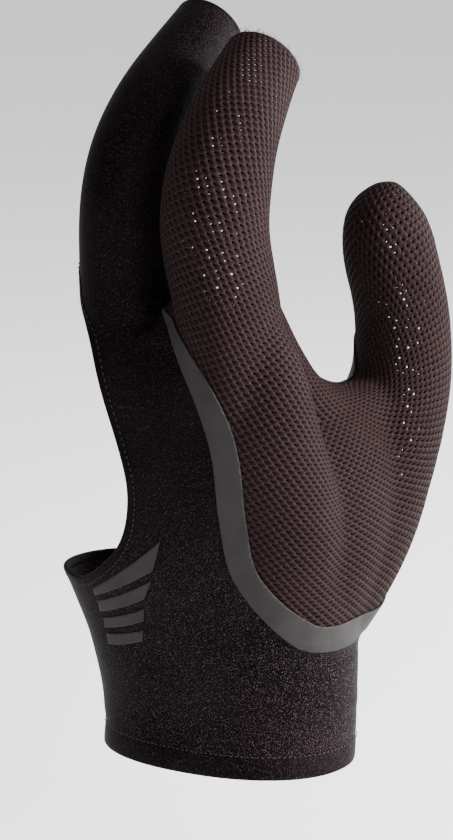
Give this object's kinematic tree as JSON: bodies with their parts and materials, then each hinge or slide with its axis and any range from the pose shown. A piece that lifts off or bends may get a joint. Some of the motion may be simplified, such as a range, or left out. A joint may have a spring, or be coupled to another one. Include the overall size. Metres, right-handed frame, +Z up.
{
  "type": "billiard glove",
  "caption": "Left-hand cue-sport glove: closed thumb, open-ended index and middle sleeves, wrist cuff and a side opening that leaves two fingers bare.",
  "frame": {"origin": "centre of the wrist opening, in the plane of its lower edge", "axes": "+Z up the hand towards the fingers, +X towards the thumb, -Y out of the back of the hand"},
  "size_m": [0.0856, 0.0893, 0.1867],
  "materials": {
    "lycra": "fine black stretch knit with a slight sheen",
    "lycra_edge": "the same knit, folded and stitched",
    "mesh_knit": "matt brown-black holed knit",
    "grey_tape": "flat grey bonded tape",
    "grey_stripe": "flat grey bonded film"
  },
  "bodies": {
    "root": {"lycra_body": "lycra", "cutout_binding": "lycra_edge", "cuff_hem": "lycra_edge", "mesh_panel": "mesh_knit", "seam_band": "grey_tape", "stripe_1": "grey_stripe", "stripe_2": "grey_stripe", "stripe_3": "grey_stripe", "stripe_4": "grey_stripe"}
  },
  "joints": []
}
